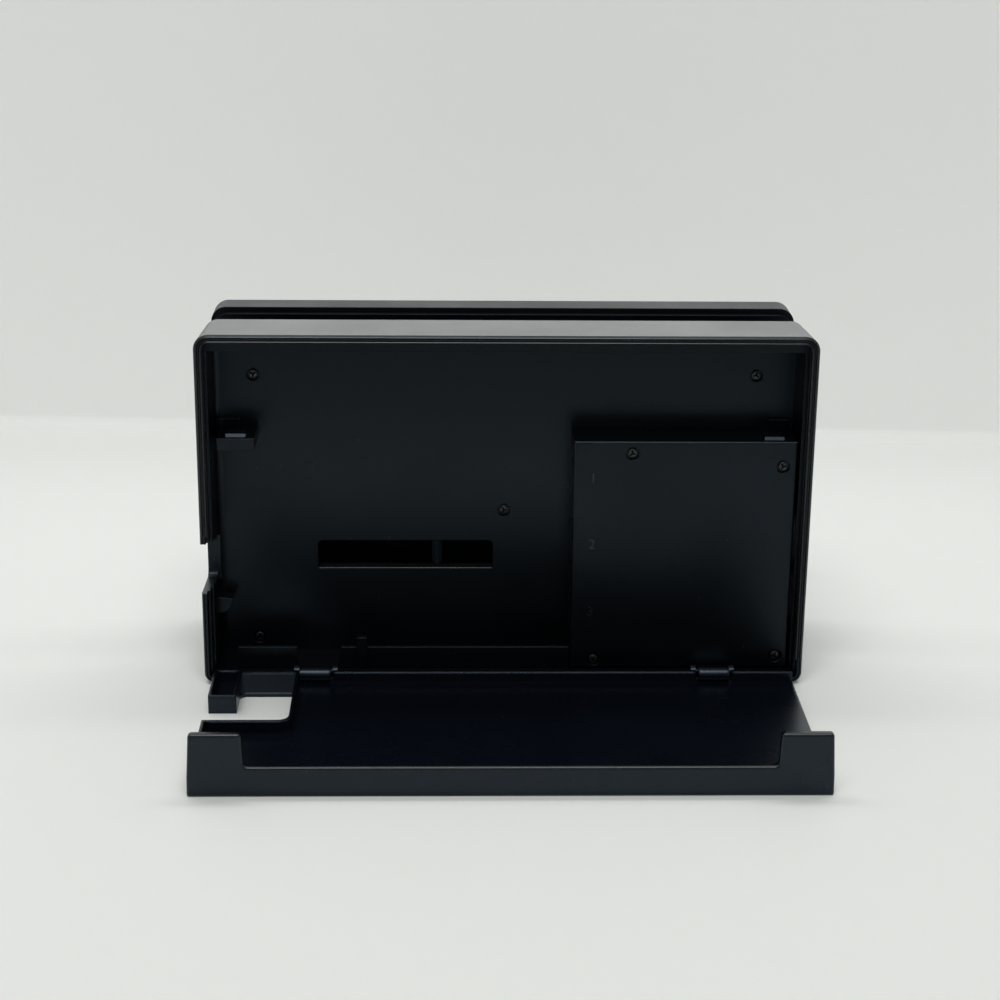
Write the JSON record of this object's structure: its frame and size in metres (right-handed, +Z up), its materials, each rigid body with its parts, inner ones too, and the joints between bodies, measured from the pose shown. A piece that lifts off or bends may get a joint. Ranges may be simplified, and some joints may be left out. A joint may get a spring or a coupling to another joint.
{
  "type": "handheld console dock",
  "caption": "Upright desktop dock with an open-topped slot for a handheld console, a rear cable compartment and a hinged rear cover that folds down flat.",
  "frame": {"origin": "centre of the footprint on the table, measured with the rear cover lying open", "axes": "+X along the width (to the left as seen from the rear), +Y to the rear where the cover lies open, +Z up; the front panel faces -Y"},
  "size_m": [0.173, 0.1256, 0.104],
  "materials": {
    "housing_plastic": "fine satin charcoal",
    "liner_plastic": "fine satin charcoal",
    "panel_plastic": "fine satin charcoal",
    "cover_plastic": "fine satin charcoal",
    "port_cover_plastic": "fine matte black",
    "circuit_board": "green solder mask",
    "sheet_steel": "plain stamped",
    "contact_plastic": "plain black",
    "plug_metal": "bright plated",
    "cable_film": "amber film",
    "light_plastic": "translucent green",
    "screw_steel": "blackened",
    "foot_rubber": "soft matte"
  },
  "bodies": {
    "dock": {"base_cover": "liner_plastic", "base_screws": "screw_steel", "board_screws": "screw_steel", "board_shield": "sheet_steel", "data_port": "sheet_steel", "flat_cable": "cable_film", "front_panel": "panel_plastic", "housing_screws": "screw_steel", "light_board": "circuit_board", "light_pipe": "light_plastic", "main_board": "circuit_board", "port_cover": "port_cover_plastic", "port_cover_screws": "screw_steel", "port_tongues": "contact_plastic", "power_inlet": "sheet_steel", "rear_housing": "housing_plastic", "rubber_feet": "foot_rubber", "side_ports": "sheet_steel", "slot_liner": "liner_plastic", "video_port": "sheet_steel"},
    "cover": {"rear_cover": "cover_plastic"},
    "plug": {"plug_carriage": "liner_plastic", "console_plug": "plug_metal", "connector_board": "circuit_board"}
  },
  "joints": [
    {"name": "cover_hinge", "type": "hinge", "parent": "dock", "child": "cover", "pos_m": [0, -0.0118, 0.003], "axis": [1, 0, 0], "range_deg": [0, 90]},
    {"name": "plug_tilt", "type": "hinge", "parent": "dock", "child": "plug", "pos_m": [0, -0.0414, 0.008], "axis": [1, 0, 0], "range_deg": [-5, 5], "stiffness_Nm_per_rad": 0.03}
  ]
}
